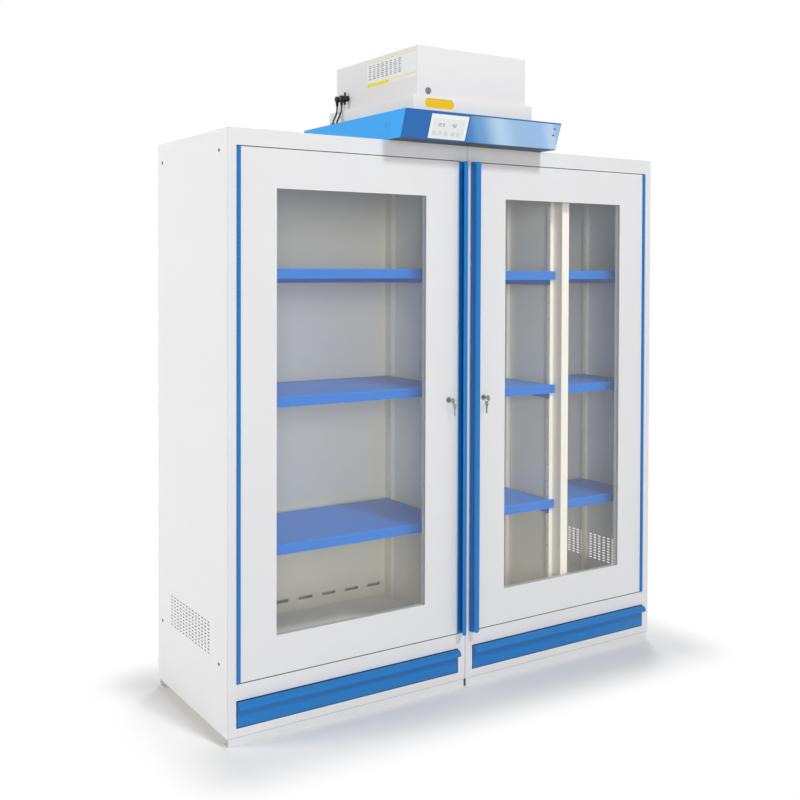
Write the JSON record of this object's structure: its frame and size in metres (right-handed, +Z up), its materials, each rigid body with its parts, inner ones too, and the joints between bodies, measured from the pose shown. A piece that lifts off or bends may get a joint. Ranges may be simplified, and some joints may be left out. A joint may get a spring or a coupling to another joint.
{
  "type": "hazardous materials cabinet",
  "caption": "Tall glazed metal cabinet of two joined bays with hinged doors, shelves, a drawer under each bay and an extraction filter unit on the roof.",
  "frame": {"origin": "on the floor under the middle of the whole cabinet, seen from above", "axes": "+Z up, the doors face -Y, the bay with the partition is on the +X side"},
  "size_m": [1.9, 0.74, 2.332],
  "materials": {
    "white_paint": "satin powder coat, pale grey-white",
    "grey_paint": "satin powder coat, pale grey",
    "blue_paint": "satin powder coat, mid blue",
    "bright_blue_paint": "satin powder coat, bright blue",
    "steel": "plain zinc-plated steel",
    "glass": "clear safety glass",
    "gasket_rubber": "matt grey",
    "fascia_metal": "satin silver-blue",
    "display_face": null,
    "yellow_plate": "plain yellow, no words",
    "filter_media": "matt",
    "black_plastic": "matt black"
  },
  "bodies": {
    "cabinet": {"left_outer_side": "white_paint", "right_outer_side": "white_paint", "inner_sides": "white_paint", "left_front_frame": "white_paint", "right_front_frame": "white_paint", "back_panels": "white_paint", "roof_panels": "white_paint", "compartment_floors": "white_paint", "base_pans": "white_paint", "air_baffles": "grey_paint", "plinth_rails": "white_paint", "partition": "white_paint", "shelf_uprights": "white_paint", "shelf_clips": "steel", "left_shelves": "bright_blue_paint", "right_inner_shelves": "bright_blue_paint", "right_outer_shelves": "bright_blue_paint", "joining_bolts": "steel", "frame_hinge_leaves": "blue_paint", "hinge_pins": "steel", "drawer_guides": "steel", "hood": "bright_blue_paint", "fascia_plate": "fascia_metal", "display": "display_face", "filter_box": "white_paint", "filter_cassette": "filter_media", "type_plate": "yellow_plate", "fan_box": "white_paint", "exhaust_grille": "grey_paint", "fan_motor": "steel", "lead_plugs": "black_plastic", "link_leads": "black_plastic", "mains_inlet": "black_plastic"},
    "left_door": {"left_door": "white_paint", "left_door_liner": "white_paint", "left_glass": "glass", "left_gasket": "gasket_rubber", "left_handle": "blue_paint", "left_door_leaf": "blue_paint", "left_lock_barrel": "steel"},
    "left_lock": {"left_key": "steel", "left_lock_cam": "steel"},
    "left_spare": {"left_spare_key": "steel"},
    "left_drawer": {"left_drawer_tray": "white_paint", "left_drawer_front": "blue_paint"},
    "right_door": {"right_door": "white_paint", "right_door_liner": "white_paint", "right_glass": "glass", "right_gasket": "gasket_rubber", "right_handle": "blue_paint", "right_door_leaf": "blue_paint", "right_lock_barrel": "steel"},
    "right_lock": {"right_key": "steel", "right_lock_cam": "steel"},
    "right_spare": {"right_spare_key": "steel"},
    "right_drawer": {"right_drawer_tray": "white_paint", "right_drawer_front": "blue_paint"},
    "fan": {"impeller": "black_plastic"},
    "box_lock": {"box_lock": "steel"}
  },
  "joints": [
    {"name": "left_door_hinge", "type": "hinge", "parent": "cabinet", "child": "left_door", "pos_m": [-0.91, -0.25, 1.07], "axis": [0, 0, -1], "range_deg": [0, 110]},
    {"name": "left_lock_turn", "type": "hinge", "parent": "left_door", "child": "left_lock", "pos_m": [-0.08, -0.25, 1.068], "axis": [0, -1, 0], "range_deg": [0, 90]},
    {"name": "left_spare_swing", "type": "hinge", "parent": "left_door", "child": "left_spare", "pos_m": [-0.08, -0.2798, 1.068], "axis": [-1, 0, 0], "range_deg": [-20, 30]},
    {"name": "left_drawer_slide", "type": "slide", "parent": "cabinet", "child": "left_drawer", "axis": [0, -1, 0], "range_m": [0, 0.4]},
    {"name": "right_door_hinge", "type": "hinge", "parent": "cabinet", "child": "right_door", "pos_m": [0.91, -0.25, 1.07], "axis": [0, 0, 1], "range_deg": [0, 110]},
    {"name": "right_lock_turn", "type": "hinge", "parent": "right_door", "child": "right_lock", "pos_m": [0.08, -0.25, 1.068], "axis": [0, 1, 0], "range_deg": [0, 90]},
    {"name": "right_spare_swing", "type": "hinge", "parent": "right_door", "child": "right_spare", "pos_m": [0.08, -0.2798, 1.068], "axis": [-1, 0, 0], "range_deg": [-20, 30]},
    {"name": "right_drawer_slide", "type": "slide", "parent": "cabinet", "child": "right_drawer", "axis": [0, -1, 0], "range_m": [0, 0.4]},
    {"name": "box_lock_turn", "type": "hinge", "parent": "cabinet", "child": "box_lock", "pos_m": [-0.199, -0.2835, 2.175], "axis": [0, 1, 0], "range_deg": [0, 90]},
    {"name": "fan_spin", "type": "hinge", "parent": "cabinet", "child": "fan", "pos_m": [0, 0.002, 2.26], "axis": [0, 0, 1], "continuous": true}
  ]
}
